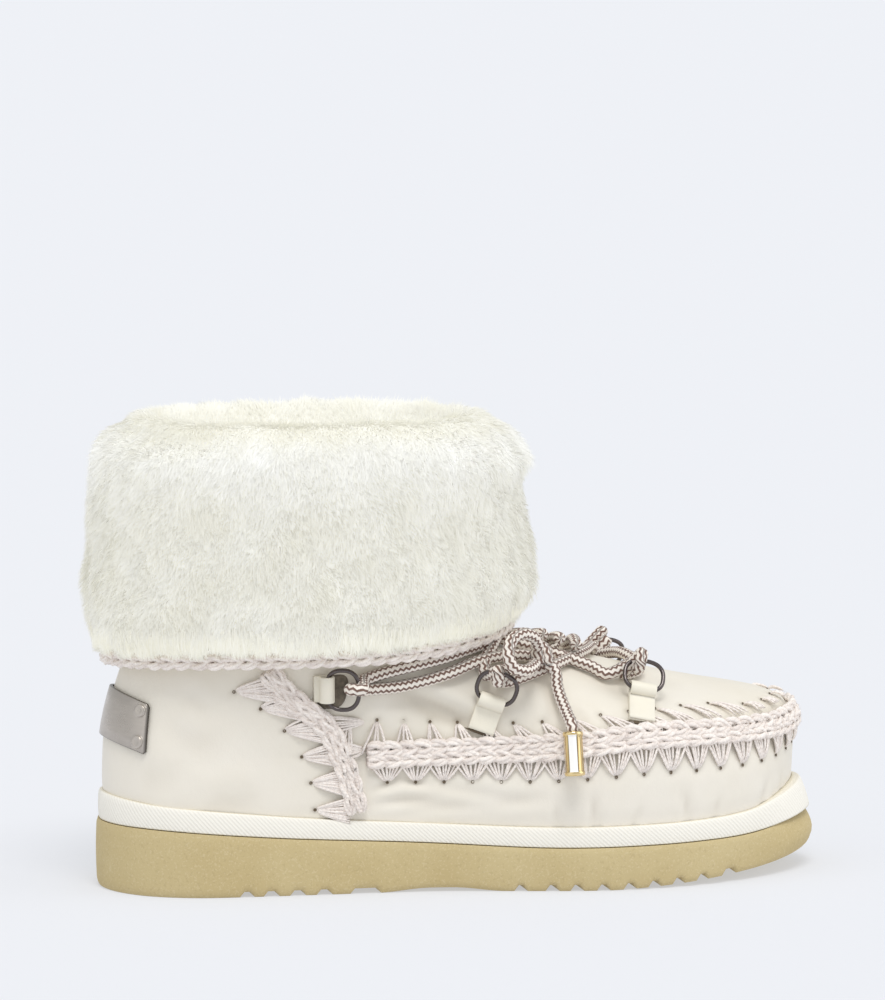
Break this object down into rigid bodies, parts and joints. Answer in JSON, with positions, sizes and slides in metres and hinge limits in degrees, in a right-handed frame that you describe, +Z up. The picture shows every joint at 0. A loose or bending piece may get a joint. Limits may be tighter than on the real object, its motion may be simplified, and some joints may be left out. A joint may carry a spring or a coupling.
{
  "type": "mukluk boot",
  "caption": "Right-foot mukluk ankle boot with a platform sole, moccasin apron foot, side lacing rings and a fold-down shearling cuff.",
  "frame": {"origin": "centre of the boot's box on the floor plane, cords left out", "axes": "+X from heel to toe, +Y to the inner side of the foot, +Z up"},
  "size_m": [0.2766, 0.1226, 0.175],
  "materials": {
    "foam": "matt light foam rubber",
    "twill": "matt twill tape",
    "leather": "soft satin nappa",
    "shearling": "sheepskin wool",
    "yarn": "crochet wool yarn",
    "gunmetal": "polished dark metal",
    "pewter": "brushed pewter",
    "gold": "polished pale gold",
    "cord": "round braided cord, white and brown"
  },
  "bodies": {
    "root": {"outsole": "foam", "midsole": "twill", "insole": "shearling", "upper": "leather", "cuff": "shearling", "hem_braid": "yarn", "apron_braid": "yarn", "ankle_braid_outer": "yarn", "ankle_braid_inner": "yarn", "tab_ankle_outer": "leather", "tab_ankle_inner": "leather", "tab_middle_outer": "leather", "tab_middle_inner": "leather", "tab_front_outer": "leather", "tab_front_inner": "leather", "ring_ankle_outer": "gunmetal", "ring_ankle_inner": "gunmetal", "ring_middle_outer": "gunmetal", "ring_middle_inner": "gunmetal", "ring_front_outer": "gunmetal", "ring_front_inner": "gunmetal", "heel_plate": "pewter", "lace_bar": "cord", "lace_crossings": "cord", "lace_knot": "cord", "lace_loop_outer": "cord", "lace_loop_inner": "cord", "lace_end_outer": "cord", "lace_end_inner": "cord", "lace_tip_outer": "gold", "lace_tip_inner": "gold"}
  },
  "joints": []
}
